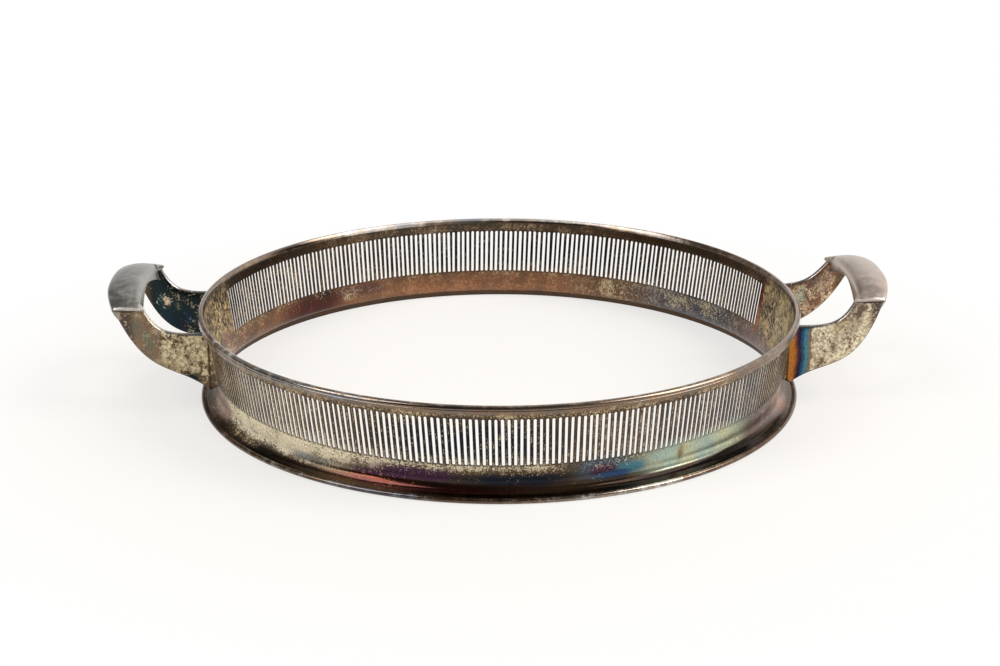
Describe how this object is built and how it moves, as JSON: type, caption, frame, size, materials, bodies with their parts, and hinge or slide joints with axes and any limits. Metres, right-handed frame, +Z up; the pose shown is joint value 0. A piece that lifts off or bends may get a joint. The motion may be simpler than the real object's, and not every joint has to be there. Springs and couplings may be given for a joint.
{
  "type": "casserole dish holder",
  "caption": "Open round dish holder with a pierced, flared gallery, moulded rim, spread foot ring and arched bridge handles, for carrying a hot baking dish to the table.",
  "frame": {"origin": "on the table, at the centre of the round foot", "axes": "+Z up; the two handles lie along X; -Y is the side that faces the camera in the picture"},
  "size_m": [0.321, 0.25, 0.0499],
  "materials": {
    "gallery_silver": "tarnished, pitted silver plate",
    "rim_silver": "worn, polished silver plate",
    "foot_silver": "dark tarnished silver plate",
    "arm_silver": "tarnished, pitted silver plate over a casting",
    "grip_silver": "satin, worn silver plate over a casting"
  },
  "bodies": {
    "root": {"gallery_front": "gallery_silver", "gallery_back": "gallery_silver", "rim_moulding": "rim_silver", "foot_ring": "foot_silver", "left_arm_front": "arm_silver", "left_arm_back": "arm_silver", "right_arm_front": "arm_silver", "right_arm_back": "arm_silver", "left_grip": "grip_silver", "right_grip": "grip_silver"}
  },
  "joints": []
}
